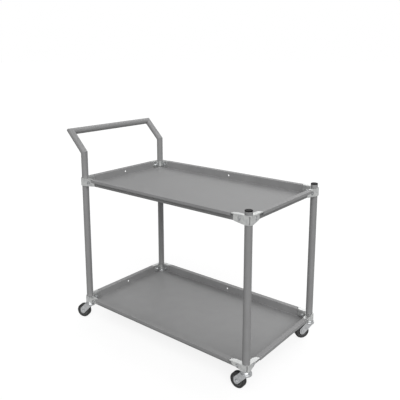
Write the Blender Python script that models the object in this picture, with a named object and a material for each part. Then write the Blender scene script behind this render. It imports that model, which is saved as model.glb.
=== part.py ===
"""Two-tier utility cart on four swivel casters.

The cart stands on z = 0 and is pushed along +X by the handle at its -X end. A bent
tube makes the two rear posts and the handle in one piece, and two straight tubes make
the front posts. Folded steel trays hang between the posts, held at each corner by a
cast clamp in two halves with a bolt through each wing. Every length is in metres.
"""
import math

import bmesh
import bpy
from mathutils import Matrix, Vector

# Clearances
SEAT_GAP = 0.0003
TUBE_HOLE_CLEARANCE = 0.0004
SWIVEL_GAP = 0.0005
PIN_CLEARANCE = 0.0004
AXLE_CLEARANCE = 0.0002
WHEEL_SIDE_CLEARANCE = 0.0013
HUB_SIDE_CLEARANCE = 0.0005

# Frame tubes
POST_SPACING_X = 0.900
POST_SPACING_Y = 0.500
TUBE_RADIUS = 0.015
TUBE_WALL = 0.0015
FRONT_POST_RISE = 0.0125
HANDLE_RISE = 0.116
HANDLE_REACH = 0.088
HANDLE_LIFT = 0.088

# Levels of the trays
LOWER_RIM_TOP = 0.112
TRAY_SPACING_Z = 0.580

# Folded steel trays
SHEET = 0.0012
TRAY_DEPTH = 0.035
RIM_REACH = 0.022
RIM_LIP = 0.012
RIM_NOTCH_GAP = 0.0030
RIM_NOTCH_BITE = 0.00010
DRAIN_HOLE_RADIUS = 0.0040
DRAIN_HOLE_DROP = 0.016

# Corner clamps
CLAMP_WALL = 0.0025
UPPER_COLLAR_HEIGHT = 0.0365
CLAMP_FLANGE = 0.0025
CLAMP_WING = 0.062
CLAMP_WING_ROUND = 0.016
CLAMP_WEB_END = 0.066
CLAMP_WEB_RISE = 0.002
CLAMP_WEB_CHAMFER = 0.005
CLAMP_SLIT_WIDTH = 0.0024
CLAMP_SLIT_DEPTH = 0.0018
CLAMP_RECESS_RADIUS = 0.0072
CLAMP_RECESS_SEAT = 0.0065
INNER_CLAMP_DROP = 0.0020
INNER_CLAMP_HEIGHT = 0.027
INNER_CLAMP_WING = 0.054
INNER_CLAMP_ROUND = 0.007

# Clamp bolts
BOLT_RADIUS = 0.0030
BOLT_HOLE_RADIUS = 0.0035
BOLT_ALONG_WING = 0.035
BOLT_DROP = 0.0195
BOLT_HEAD_RADIUS = 0.0052
BOLT_HEAD_HEIGHT = 0.0042
BOLT_SOCKET_RADIUS = 0.0028
BOLT_SOCKET_DEPTH = 0.0020
BOLT_HEX_RADIUS = 0.0058
BOLT_NUT_HEIGHT = 0.0050
BOLT_TAIL = 0.0015

# Post caps
CAP_THICKNESS = 0.0040
CAP_PLUG_LENGTH = 0.012
CAP_ROUND = 0.0012

# Casters
WHEEL_RADIUS = 0.0315
TYRE_WIDTH = 0.024
TYRE_SHOULDER = 0.004
TYRE_THICKNESS = 0.0095
HUB_BOSS_RADIUS = 0.009
HUB_WEB = 0.008
HUB_RIM = 0.0035
HUB_RIM_INSET = 0.002
AXLE_RADIUS = 0.0040
AXLE_HEX_RADIUS = 0.0068
AXLE_HEX_HEIGHT = 0.0040
CASTER_TRAIL = 0.034
FORK_SHEET = 0.0025
FORK_HEAD_RADIUS = 0.0233
FORK_SKIRT_Z = 0.0660
FORK_SHOULDER = 0.0040
FORK_END_RADIUS = 0.012
FORK_FRONT_X = 0.014
FORK_BACK_X = 0.017
KINGPIN_RADIUS = 0.0050
RIVET_RADIUS = 0.0090
RIVET_HEIGHT = 0.0030
STEM_LENGTH = 0.040
STEM_CHAMFER = 0.0030
CROWN_RADIUS = 0.0205
CROWN_HEIGHT = 0.0066
CROWN_BAND = 0.0020
CROWN_TAPER = 0.0009
CROWN_CLEARANCE = 0.0015

# Sides and steps of the round forms
TUBE_SIDES = 20
TURNED_STEPS = 16
TYRE_STEPS = 24
DRAIN_SIDES = 10
RECESS_SIDES = 12
HOLE_SIDES = 8
COLLAR_STEPS = 8
ROUND_STEPS = 3
SHARP_ANGLE = 35.0
MERGE_DISTANCE = 0.00001

# A clamp's collar is split along the diagonal that points out of the cart
CLAMP_DIAGONAL = -135.0

# How far each caster is turned from trailing straight back, in degrees
SWIVEL_AT_REST = {
    "rear_right": 20.0,
    "front_right": 0.0,
    "front_left": 50.0,
    "rear_left": -20.0,
}

# Sizes that follow from the ones above
UPPER_RIM_TOP = LOWER_RIM_TOP + TRAY_SPACING_Z
TUBE_BORE = TUBE_RADIUS - TUBE_WALL
CLAMP_BORE = TUBE_RADIUS + SEAT_GAP
COLLAR_RADIUS = CLAMP_BORE + CLAMP_WALL
WALL_HALF = SHEET / 2
CLAMP_FACE = WALL_HALF + SEAT_GAP
CLAMP_BACK = CLAMP_FACE + CLAMP_WALL
LOWER_COLLAR_HEIGHT = INNER_CLAMP_DROP + INNER_CLAMP_HEIGHT
POST_FOOT_Z = LOWER_RIM_TOP - LOWER_COLLAR_HEIGHT - SEAT_GAP
CROWN_TOP = POST_FOOT_Z - SEAT_GAP
CROWN_FOOT = CROWN_TOP - CROWN_HEIGHT
FORK_TOP = CROWN_FOOT - SWIVEL_GAP
FORK_INNER_Y = TYRE_WIDTH / 2 + WHEEL_SIDE_CLEARANCE
FORK_OUTER_Y = FORK_INNER_Y + FORK_SHEET
# The origin lies under the middle of the whole length, handle included
MIDDLE_X = (HANDLE_REACH + TUBE_RADIUS - max(RIM_REACH, FORK_HEAD_RADIUS)) / 2

# Corners as seen by whoever pushes the cart: name, x side, y side
CORNERS = (
    ("rear_right", -1, -1),
    ("front_right", 1, -1),
    ("front_left", 1, 1),
    ("rear_left", -1, 1),
)

# One wing of a corner turned into the other, and a plan stood up on its X edge
ACROSS = Matrix(((0, 1, 0), (1, 0, 0), (0, 0, 1))).to_4x4()
STOOD_UP = Matrix(((1, 0, 0), (0, 0, -1), (0, 1, 0))).to_4x4()

# Paints and metals: colour, roughness, metallic
PAINT = ("grey_paint", (0.29, 0.29, 0.29), 0.45, 0.0)
ZINC = ("bright_zinc", (0.62, 0.64, 0.62), 0.28, 1.0)
STEEL = ("plated_steel", (0.50, 0.51, 0.50), 0.35, 1.0)
RUBBER = ("black_rubber", (0.035, 0.035, 0.035), 0.75, 0.0)
HUB_PLASTIC = ("hub_plastic", (0.10, 0.10, 0.10), 0.55, 0.0)
CAP_PLASTIC = ("cap_plastic", (0.012, 0.012, 0.012), 0.40, 0.0)


def clear_scene():
    """Remove whatever the file holds."""
    for thing in list(bpy.data.objects):
        bpy.data.objects.remove(thing, do_unlink=True)


def material(finish):
    """Return the material of a finish, made on first use."""
    name, colour, roughness, metallic = finish
    found = bpy.data.materials.get(name)
    if found:
        return found
    made = bpy.data.materials.new(name)
    made.use_nodes = True
    shader = made.node_tree.nodes["Principled BSDF"]
    shader.inputs["Base Color"].default_value = (*colour, 1.0)
    shader.inputs["Roughness"].default_value = roughness
    shader.inputs["Metallic"].default_value = metallic
    return made


def mesh_from(name, bm):
    """Turn a worked shape into a mesh with outward faces."""
    bmesh.ops.recalc_face_normals(bm, faces=bm.faces)
    mesh = bpy.data.meshes.new(name)
    bm.to_mesh(mesh)
    bm.free()
    return mesh


def place(name, mesh, finish, matrix):
    """Put a mesh in the scene as the piece of that name."""
    piece = bpy.data.objects.new(name, mesh)
    if not mesh.materials:
        mesh.materials.append(material(finish))
    mesh.shade_smooth()
    mesh.set_sharp_from_angle(angle=math.radians(SHARP_ANGLE))
    piece.matrix_world = matrix
    bpy.context.collection.objects.link(piece)
    return piece


def arc(centre, radius, start, end, steps):
    """Points on an arc, from the start angle to the end angle, both included."""
    points = []
    for step in range(steps + 1):
        angle = start + (end - start) * step / steps
        points.append((centre[0] + radius * math.cos(angle), centre[1] + radius * math.sin(angle)))
    return points


def prism(outline, low, high):
    """Extrude a plan outline from height low to height high."""
    bm = bmesh.new()
    foot = bm.faces.new([bm.verts.new((x, y, low)) for x, y in outline])
    grown = bmesh.ops.extrude_face_region(bm, geom=[foot])
    top = [item for item in grown["geom"] if isinstance(item, bmesh.types.BMVert)]
    bmesh.ops.translate(bm, verts=top, vec=(0, 0, high - low))
    return bm


def box(low, high):
    """Box between two corners."""
    outline = [(low[0], low[1]), (high[0], low[1]), (high[0], high[1]), (low[0], high[1])]
    return prism(outline, low[2], high[2])


def rod(radius, start, end, sides):
    """Straight round rod between two points."""
    axis = Vector(end) - Vector(start)
    turn = axis.to_track_quat("Z", "Y").to_matrix().to_4x4()
    bm = bmesh.new()
    bmesh.ops.create_cone(
        bm, cap_ends=True, segments=sides, radius1=radius, radius2=radius, depth=axis.length,
        matrix=Matrix.Translation((Vector(start) + Vector(end)) / 2) @ turn,
    )
    return bm


def turned(profile, steps, ring):
    """Spin a profile of (radius, height) points about Z; a ring's profile is closed."""
    bm = bmesh.new()
    verts = [bm.verts.new((radius, 0, height)) for radius, height in profile]
    for first, second in zip(verts, verts[1:]):
        bm.edges.new((first, second))
    if ring:
        bm.edges.new((verts[-1], verts[0]))
    bmesh.ops.spin(
        bm, geom=list(bm.verts) + list(bm.edges), cent=(0, 0, 0), axis=(0, 0, 1),
        angle=2 * math.pi, steps=steps,
    )
    bmesh.ops.remove_doubles(bm, verts=bm.verts, dist=MERGE_DISTANCE)
    return bm


def moved(bm, matrix):
    """The same shape, moved by a matrix."""
    bmesh.ops.transform(bm, verts=bm.verts, matrix=matrix)
    return bm


def carved(base, tools, operation):
    """Join a mesh with each tool in turn, or cut it by them."""
    body = bpy.data.objects.new("work_body", base)
    bpy.context.collection.objects.link(body)
    helpers = []
    for tool in tools:
        helper = bpy.data.objects.new("work_tool", mesh_from("work_tool", tool))
        bpy.context.collection.objects.link(helper)
        helpers.append(helper)
        step = body.modifiers.new("step", "BOOLEAN")
        step.operation = operation
        step.solver = "EXACT"
        step.object = helper
    graph = bpy.context.evaluated_depsgraph_get()
    result = bpy.data.meshes.new_from_object(body.evaluated_get(graph))
    for thing in [body] + helpers:
        bpy.data.objects.remove(thing, do_unlink=True)
    return result


def corner_in_tray(x_side, y_side):
    """Frame of a tray's corner: its own +X and +Y run along the two rims, away from the post."""
    turns = {(-1, -1): 0, (1, -1): 1, (1, 1): 2, (-1, 1): 3}[(x_side, y_side)]
    centre = (x_side * POST_SPACING_X / 2, y_side * POST_SPACING_Y / 2, 0)
    return Matrix.Translation(centre) @ Matrix.Rotation(turns * math.pi / 2, 4, "Z")


def corner_matrix(x_side, y_side, z):
    """The same frame of a corner, placed in the cart at height z."""
    return Matrix.Translation((MIDDLE_X, 0, z)) @ corner_in_tray(x_side, y_side)


def tube_along(points, radius, sides):
    """Rings of a round tube with mitred corners, along a path that starts straight up."""
    rings = []
    last = len(points) - 1
    for index, point in enumerate(points):
        ahead = (points[min(index + 1, last)] - points[min(index, last - 1)]).normalized()
        behind = (points[max(index, 1)] - points[max(index - 1, 0)]).normalized()
        mitre = (ahead + behind).normalized()
        ring = []
        if rings:
            for corner in rings[-1]:
                reach = (point - corner).dot(mitre) / behind.dot(mitre)
                ring.append(corner + behind * reach)
        else:
            for x, y in arc((0, 0), radius, 0, 2 * math.pi, sides)[:-1]:
                ring.append(point + Vector((x, y, 0)))
        rings.append(ring)
    return rings


def hollow_tube(points, radius, bore, sides):
    """Open tube along a path, with its bore and its two ring-shaped ends."""
    bm = bmesh.new()
    skins = []
    for size in (radius, bore):
        rings = tube_along(points, size, sides)
        skins.append([[bm.verts.new(spot) for spot in ring] for ring in rings])
    for rings in skins:
        for near, far in zip(rings, rings[1:]):
            for step in range(sides):
                after = (step + 1) % sides
                bm.faces.new((near[step], near[after], far[after], far[step]))
    for end in (0, -1):
        outer, inner = skins[0][end], skins[1][end]
        for step in range(sides):
            after = (step + 1) % sides
            bm.faces.new((outer[step], outer[after], inner[after], inner[step]))
    return bm


def build_handle_frame():
    """Rear posts and handle in one tube: up, out at 45 degrees, across, and down again."""
    x = MIDDLE_X - POST_SPACING_X / 2
    y = POST_SPACING_Y / 2
    bend = UPPER_RIM_TOP + HANDLE_RISE
    path = [
        Vector((x, -y, POST_FOOT_Z)),
        Vector((x, -y, bend)),
        Vector((x - HANDLE_REACH, -y, bend + HANDLE_LIFT)),
        Vector((x - HANDLE_REACH, y, bend + HANDLE_LIFT)),
        Vector((x, y, bend)),
        Vector((x, y, POST_FOOT_Z)),
    ]
    mesh = mesh_from("handle_frame", hollow_tube(path, TUBE_RADIUS, TUBE_BORE, TUBE_SIDES))
    place("handle_frame", mesh, PAINT, Matrix.Identity(4))


def build_front_posts():
    """Straight front posts, each closed by a pushed-in plastic cap."""
    height = UPPER_RIM_TOP + FRONT_POST_RISE - POST_FOOT_Z
    path = [Vector((0, 0, 0)), Vector((0, 0, height))]
    post = mesh_from("front_post", hollow_tube(path, TUBE_RADIUS, TUBE_BORE, TUBE_SIDES))
    plug = TUBE_BORE - SEAT_GAP
    profile = [
        (0, CAP_THICKNESS),
        (TUBE_RADIUS - CAP_ROUND, CAP_THICKNESS),
        (TUBE_RADIUS, CAP_THICKNESS - CAP_ROUND),
        (TUBE_RADIUS, 0),
        (plug, 0),
        (plug, -CAP_PLUG_LENGTH),
        (0, -CAP_PLUG_LENGTH),
    ]
    cap = mesh_from("post_cap", turned(profile, TUBE_SIDES, False))
    for name, x_side, y_side in CORNERS:
        if x_side > 0:
            foot = corner_matrix(x_side, y_side, POST_FOOT_Z)
            place("post_" + name, post, PAINT, foot)
            top = corner_matrix(x_side, y_side, POST_FOOT_Z + height + SEAT_GAP)
            place("post_cap_" + name, cap, CAP_PLASTIC, top)


def rim_profile():
    """Section of a rim, as (outward, up): wall, flange and turned-down lip."""
    return [
        (-WALL_HALF, 0),
        (WALL_HALF, 0),
        (WALL_HALF, TRAY_DEPTH - SHEET),
        (RIM_REACH - SHEET, TRAY_DEPTH - SHEET),
        (RIM_REACH - SHEET, TRAY_DEPTH - RIM_LIP),
        (RIM_REACH, TRAY_DEPTH - RIM_LIP),
        (RIM_REACH, TRAY_DEPTH),
        (-WALL_HALF, TRAY_DEPTH),
    ]


def rim_length(half_length, offset, side, turn):
    """One rim of a tray, its section swept along the tray, on one side of it."""
    bm = prism(rim_profile(), -half_length, half_length)
    upright = Matrix(((0, 0, 1), (side, 0, 0), (0, 1, 0))).to_4x4()
    return moved(bm, turn @ Matrix.Translation((0, side * offset, 0)) @ upright)


def notch_outline():
    """Plan of what a rim leaves free for the clamp's wing, as (along, outward)."""
    radius = CLAMP_WING_ROUND + RIM_NOTCH_GAP
    centre = (CLAMP_WING - CLAMP_WING_ROUND, CLAMP_FACE + CLAMP_WING_ROUND)
    wall_face = WALL_HALF - RIM_NOTCH_BITE
    start = -math.asin((centre[1] - wall_face) / radius)
    beyond = RIM_REACH + RIM_NOTCH_GAP
    outline = [(-beyond, wall_face)]
    outline += arc(centre, radius, start, 0, ROUND_STEPS)
    outline += [(centre[0] + radius, beyond), (-beyond, beyond)]
    return outline


def corner_cutters(foot_clearance):
    """Tools that clear one corner of a tray, in the corner's own frame."""
    high = TRAY_DEPTH + RIM_NOTCH_GAP
    low = TRAY_DEPTH - RIM_LIP - RIM_NOTCH_GAP
    wing = [(along, -outward) for along, outward in notch_outline()]
    bolt_z = TRAY_DEPTH - BOLT_DROP
    bolt_start = (BOLT_ALONG_WING, -SHEET, bolt_z)
    bolt_stop = (BOLT_ALONG_WING, SHEET, bolt_z)
    tools = [rod(TUBE_RADIUS + TUBE_HOLE_CLEARANCE, (0, 0, -SHEET), (0, 0, high), TURNED_STEPS)]
    for turn in (Matrix.Identity(4), ACROSS):
        tools.append(moved(prism(wing, low, high), turn))
        tools.append(moved(rod(BOLT_HOLE_RADIUS, bolt_start, bolt_stop, HOLE_SIDES), turn))
    if foot_clearance:
        top = TRAY_DEPTH - LOWER_COLLAR_HEIGHT
        tools.append(rod(CROWN_RADIUS + CROWN_CLEARANCE, (0, 0, -SHEET), (0, 0, top), TURNED_STEPS))
    return tools


def build_tray(name, rim_top, foot_clearance):
    """Folded steel tray: floor, four rims with flange and lip, cleared at the corners."""
    half_x = POST_SPACING_X / 2
    half_y = POST_SPACING_Y / 2
    drain_z = TRAY_DEPTH - DRAIN_HOLE_DROP
    rims = []
    tools = []
    for half, offset, turn in ((half_x, half_y, Matrix.Identity(4)), (half_y, half_x, ACROSS)):
        for side in (-1, 1):
            rims.append(rim_length(half, offset, side, turn))
            start = (0, side * offset - SHEET, drain_z)
            stop = (0, side * offset + SHEET, drain_z)
            tools.append(moved(rod(DRAIN_HOLE_RADIUS, start, stop, DRAIN_SIDES), turn))
    for corner, x_side, y_side in CORNERS:
        frame = corner_in_tray(x_side, y_side)
        tools += [moved(tool, frame) for tool in corner_cutters(foot_clearance)]
    floor = box((-half_x, -half_y, 0), (half_x, half_y, SHEET))
    sheet = carved(carved(mesh_from("floor", floor), rims, "UNION"), tools, "DIFFERENCE")
    place(name, sheet, PAINT, Matrix.Translation((MIDDLE_X, 0, rim_top - TRAY_DEPTH)))


def tangent_angle(point, radius):
    """Angle at which the line from a point in the wing's plan touches the collar."""
    reach = math.hypot(point[0], point[1])
    return math.atan2(point[1], point[0]) - math.acos(radius / reach)


def swapped(points):
    """The same points for the other wing, across the corner's diagonal."""
    return [(y, x) for x, y in points]


def clamp_outline(tip):
    """Plan of an outer clamp half; tip runs round the end of a wing, from inside to outside."""
    meet = math.asin(CLAMP_FACE / CLAMP_BORE)
    touch = tangent_angle(tip[-1], COLLAR_RADIUS)
    diagonal = math.radians(CLAMP_DIAGONAL)
    inner = tip[:1] + arc((0, 0), CLAMP_BORE, -meet, diagonal, COLLAR_STEPS)
    outer = tip[1:] + arc((0, 0), COLLAR_RADIUS, touch, diagonal, COLLAR_STEPS // 2)
    return inner[:-1] + swapped(reversed(inner)) + swapped(outer[:-1]) + list(reversed(outer))


def build_outer_clamp(height):
    """Outer clamp half: open collar, faired webs, top flange, recessed bolt holes and a slit."""
    end = CLAMP_WEB_END
    rounding = arc(
        (CLAMP_WING - CLAMP_WING_ROUND, -CLAMP_FACE - CLAMP_WING_ROUND),
        CLAMP_WING_ROUND, math.pi / 2, 0, ROUND_STEPS,
    )
    web_plan = clamp_outline([(end, -CLAMP_FACE), (end, -CLAMP_BACK)])
    flange_plan = clamp_outline(rounding + [(CLAMP_WING, -RIM_REACH)])
    foot = COLLAR_RADIUS + SEAT_GAP
    below = -height - CLAMP_WALL
    lifted = -height + CLAMP_WEB_RISE
    slope = [
        (foot, below),
        (foot, -height),
        (end - CLAMP_WEB_CHAMFER, lifted),
        (end + SHEET, lifted + CLAMP_WEB_CHAMFER),
        (end + SHEET, below),
    ]
    slit = box(
        (COLLAR_RADIUS - CLAMP_SLIT_DEPTH, -CLAMP_SLIT_WIDTH / 2, below),
        (COLLAR_RADIUS + CLAMP_SLIT_DEPTH, CLAMP_SLIT_WIDTH / 2, CLAMP_WALL),
    )
    bolt = Vector((BOLT_ALONG_WING, 0, -BOLT_DROP))
    seat = bolt - Vector((0, CLAMP_RECESS_SEAT, 0))
    outside = bolt - Vector((0, RIM_REACH, 0))
    flange = prism(flange_plan, -CLAMP_FLANGE, 0)
    cuts = [moved(slit, Matrix.Rotation(math.radians(CLAMP_DIAGONAL), 4, "Z"))]
    for turn in (Matrix.Identity(4), ACROSS):
        cuts.append(moved(rod(BOLT_HOLE_RADIUS, bolt, outside, HOLE_SIDES), turn))
        cuts.append(moved(rod(CLAMP_RECESS_RADIUS, seat, outside, RECESS_SIDES), turn))
        cuts.append(moved(prism(slope, 0, RIM_REACH), turn @ STOOD_UP))
    web = mesh_from("clamp_outer", prism(web_plan, -height, -SHEET - SEAT_GAP))
    return carved(carved(web, [flange], "UNION"), cuts, "DIFFERENCE")


def build_inner_clamp():
    """Inner clamp half: quarter collar on the tray side, with a flat wing on each rim."""
    meet = math.asin(CLAMP_FACE / CLAMP_BORE)
    leave = math.asin(CLAMP_BACK / COLLAR_RADIUS)
    outline = [(INNER_CLAMP_WING, CLAMP_FACE), (INNER_CLAMP_WING, CLAMP_BACK)]
    outline += arc((0, 0), COLLAR_RADIUS, leave, math.pi / 2 - leave, COLLAR_STEPS - 2)
    outline += [(CLAMP_BACK, INNER_CLAMP_WING), (CLAMP_FACE, INNER_CLAMP_WING)]
    outline += arc((0, 0), CLAMP_BORE, math.pi / 2 - meet, meet, COLLAR_STEPS - 2)
    top = -INNER_CLAMP_DROP
    bm = prism(outline, top - INNER_CLAMP_HEIGHT, top)
    ends = []
    for edge in bm.edges:
        spots = [vert.co for vert in edge.verts]
        level = abs(spots[0].z - spots[1].z) < SEAT_GAP
        tip_x = all(abs(spot.x - INNER_CLAMP_WING) < SEAT_GAP for spot in spots)
        tip_y = all(abs(spot.y - INNER_CLAMP_WING) < SEAT_GAP for spot in spots)
        if level and (tip_x or tip_y):
            ends.append(edge)
    bmesh.ops.bevel(
        bm, geom=ends, offset=INNER_CLAMP_ROUND, segments=ROUND_STEPS, affect="EDGES", profile=0.5,
    )
    start = (BOLT_ALONG_WING, 0, -BOLT_DROP)
    stop = (BOLT_ALONG_WING, CLAMP_BACK + CLAMP_WALL, -BOLT_DROP)
    holes = []
    for turn in (Matrix.Identity(4), ACROSS):
        holes.append(moved(rod(BOLT_HOLE_RADIUS, start, stop, HOLE_SIDES), turn))
    return carved(mesh_from("clamp_inner", bm), holes, "DIFFERENCE")


def hexagon(radius):
    """Plan of a bolt's hexagon."""
    return arc((0, 0), radius, 0, math.pi / 3 * 5, 5)


def build_bolt():
    """Socket-head bolt with its nut run on; its own +Z points out through the rim."""
    seat = CLAMP_RECESS_SEAT + SEAT_GAP
    top = seat + BOLT_HEAD_HEIGHT
    nut_face = -CLAMP_BACK - SEAT_GAP
    tail = nut_face - BOLT_NUT_HEIGHT - BOLT_TAIL
    shank = rod(BOLT_RADIUS, (0, 0, tail), (0, 0, seat + BOLT_HEAD_HEIGHT / 2), HOLE_SIDES)
    head = rod(BOLT_HEAD_RADIUS, (0, 0, seat), (0, 0, top), RECESS_SIDES)
    nut = prism(hexagon(BOLT_HEX_RADIUS), nut_face - BOLT_NUT_HEIGHT, nut_face)
    socket = prism(hexagon(BOLT_SOCKET_RADIUS), top - BOLT_SOCKET_DEPTH, top + BOLT_SOCKET_DEPTH)
    joined = carved(mesh_from("clamp_bolt", shank), [head, nut], "UNION")
    return carved(joined, [socket], "DIFFERENCE")


def build_clamps():
    """A clamp in two halves with two bolts at each corner of each tray."""
    inner = build_inner_clamp()
    bolt = build_bolt()
    first_wing = Matrix.Translation((BOLT_ALONG_WING, 0, -BOLT_DROP))
    first_wing = first_wing @ Matrix.Rotation(math.pi / 2, 4, "X")
    second_wing = Matrix.Translation((0, BOLT_ALONG_WING, -BOLT_DROP))
    second_wing = second_wing @ Matrix.Rotation(-math.pi / 2, 4, "Y")
    levels = (
        ("upper", UPPER_RIM_TOP, build_outer_clamp(UPPER_COLLAR_HEIGHT)),
        ("lower", LOWER_RIM_TOP, build_outer_clamp(LOWER_COLLAR_HEIGHT)),
    )
    for level, rim_top, outer in levels:
        for name, x_side, y_side in CORNERS:
            frame = corner_matrix(x_side, y_side, rim_top)
            place("clamp_outer_%s_%s" % (level, name), outer, ZINC, frame)
            place("clamp_inner_%s_%s" % (level, name), inner, ZINC, frame)
            wings = ("side", "end") if x_side * y_side > 0 else ("end", "side")
            for wing, spot in zip(wings, (first_wing, second_wing)):
                place("clamp_bolt_%s_%s_%s" % (level, name, wing), bolt, STEEL, frame @ spot)


def build_stem():
    """Fixed part of a caster: expanding stem in the post, crown and riveted kingpin."""
    plate_under = FORK_TOP - FORK_SHEET
    rivet_top = plate_under - SEAT_GAP
    stem_radius = TUBE_BORE - SEAT_GAP
    profile = [
        (0, CROWN_TOP + STEM_LENGTH),
        (stem_radius - STEM_CHAMFER, CROWN_TOP + STEM_LENGTH),
        (stem_radius, CROWN_TOP + STEM_LENGTH - STEM_CHAMFER),
        (stem_radius, CROWN_TOP),
        (COLLAR_RADIUS - SEAT_GAP, CROWN_TOP),
        (CROWN_RADIUS - CROWN_TAPER, CROWN_FOOT + CROWN_BAND * 2),
        (CROWN_RADIUS, CROWN_FOOT + CROWN_BAND),
        (CROWN_RADIUS, CROWN_FOOT),
        (KINGPIN_RADIUS, CROWN_FOOT),
        (KINGPIN_RADIUS, rivet_top),
        (RIVET_RADIUS, rivet_top),
        (RIVET_RADIUS, rivet_top - RIVET_HEIGHT),
        (0, rivet_top - RIVET_HEIGHT),
    ]
    return mesh_from("caster_stem", turned(profile, TURNED_STEPS, False))


def build_fork():
    """Fork of a caster: pressed head and two legs, trailing along -X from the swivel axis."""
    hole = KINGPIN_RADIUS + PIN_CLEARANCE
    under = FORK_TOP - FORK_SHEET
    inner = FORK_HEAD_RADIUS - FORK_SHEET
    profile = [
        (hole, FORK_TOP),
        (FORK_HEAD_RADIUS - FORK_SHOULDER, FORK_TOP),
        (FORK_HEAD_RADIUS - FORK_SHOULDER / 3, FORK_TOP - FORK_SHOULDER / 3),
        (FORK_HEAD_RADIUS, FORK_TOP - FORK_SHOULDER),
        (FORK_HEAD_RADIUS, FORK_SKIRT_Z),
        (inner, FORK_SKIRT_Z),
        (inner, under - FORK_SHEET / 2),
        (inner - FORK_SHEET / 2, under),
        (hole, under),
    ]
    head = mesh_from("fork_head", turned(profile, TURNED_STEPS, True))
    root = under + FORK_SHEET / 2
    axle = (-CASTER_TRAIL, WHEEL_RADIUS)
    front = (FORK_FRONT_X, FORK_SKIRT_Z)
    back = (-FORK_BACK_X, root)
    far = (axle[0] - FORK_END_RADIUS, axle[1] + FORK_END_RADIUS)
    reach = math.hypot(front[0] - axle[0], front[1] - axle[1])
    lean = math.atan2(front[1] - axle[1], front[0] - axle[0])
    touch = lean - math.acos(FORK_END_RADIUS / reach)
    outline = [(FORK_FRONT_X, root), front]
    outline += arc(axle, FORK_END_RADIUS, touch, -math.pi, ROUND_STEPS * 2)
    outline += [far, back]
    legs = []
    for side in (-1, 1):
        low, high = sorted((side * FORK_INNER_Y, side * FORK_OUTER_Y))
        legs.append(moved(prism(outline, low, high), STOOD_UP))
    joined = carved(head, legs, "UNION")
    drill = rod(
        AXLE_RADIUS + SEAT_GAP,
        (-CASTER_TRAIL, -FORK_OUTER_Y - FORK_SHEET, WHEEL_RADIUS),
        (-CASTER_TRAIL, FORK_OUTER_Y + FORK_SHEET, WHEEL_RADIUS),
        TURNED_STEPS,
    )
    return carved(joined, [drill], "DIFFERENCE")


def build_axle():
    """Axle bolt of a wheel, along its own Z, with a head on one side and a nut on the other."""
    face = FORK_OUTER_Y + SEAT_GAP
    end = face + AXLE_HEX_HEIGHT
    inside = end - AXLE_HEX_HEIGHT / 2
    shank = rod(AXLE_RADIUS, (0, 0, -inside), (0, 0, inside), TURNED_STEPS)
    head = prism(hexagon(AXLE_HEX_RADIUS), face, end)
    nut = prism(hexagon(AXLE_HEX_RADIUS), -end, -face)
    return carved(mesh_from("caster_axle", shank), [head, nut], "UNION")


def build_hub():
    """Moulded wheel centre: boss on the axle, thin web and rim under the tyre."""
    bore = AXLE_RADIUS + AXLE_CLEARANCE
    boss_end = FORK_INNER_Y - HUB_SIDE_CLEARANCE
    rim_outer = WHEEL_RADIUS - TYRE_THICKNESS - SEAT_GAP
    rim_inner = rim_outer - HUB_RIM
    rim_end = TYRE_WIDTH / 2 - HUB_RIM_INSET
    half_web = HUB_WEB / 2
    upper = [
        (bore, boss_end),
        (HUB_BOSS_RADIUS, boss_end),
        (HUB_BOSS_RADIUS, half_web),
        (rim_inner, half_web),
        (rim_inner, rim_end),
        (rim_outer, rim_end),
    ]
    profile = upper + [(radius, -height) for radius, height in reversed(upper)]
    return mesh_from("wheel_hub", turned(profile, TURNED_STEPS, True))


def build_tyre():
    """Solid rubber tyre with rounded shoulders."""
    half = TYRE_WIDTH / 2
    inner = WHEEL_RADIUS - TYRE_THICKNESS
    shoulder = (WHEEL_RADIUS - TYRE_SHOULDER, half - TYRE_SHOULDER)
    upper = [(inner, half - HUB_RIM_INSET)]
    upper += arc(shoulder, TYRE_SHOULDER, math.pi / 2, 0, ROUND_STEPS)
    profile = upper + [(radius, -height) for radius, height in reversed(upper)]
    return mesh_from("wheel_tyre", turned(profile, TYRE_STEPS, True))


def build_casters():
    """Four swivel casters; each wheel spins on its axle and each fork turns on its kingpin."""
    stem = build_stem()
    fork = build_fork()
    axle = build_axle()
    hub = build_hub()
    tyre = build_tyre()
    lying = Matrix.Translation((-CASTER_TRAIL, 0, WHEEL_RADIUS)) @ Matrix.Rotation(math.pi / 2, 4, "X")
    for name, x_side, y_side in CORNERS:
        x = MIDDLE_X + x_side * POST_SPACING_X / 2
        centre = Matrix.Translation((x, y_side * POST_SPACING_Y / 2, 0))
        swivel = centre @ Matrix.Rotation(math.radians(SWIVEL_AT_REST[name]), 4, "Z")
        place("caster_stem_" + name, stem, STEEL, centre)
        place("caster_fork_" + name, fork, STEEL, swivel)
        place("caster_axle_" + name, axle, STEEL, swivel @ lying)
        place("wheel_hub_" + name, hub, HUB_PLASTIC, swivel @ lying)
        place("wheel_tyre_" + name, tyre, RUBBER, swivel @ lying)


clear_scene()
build_handle_frame()
build_front_posts()
build_tray("tray_upper", UPPER_RIM_TOP, False)
build_tray("tray_lower", LOWER_RIM_TOP, True)
build_clamps()
build_casters()
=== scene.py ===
"""Two-tier utility cart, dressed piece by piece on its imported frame, in a plain white studio."""
import math

import bmesh
import bpy
from mathutils import Matrix, Vector


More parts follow.
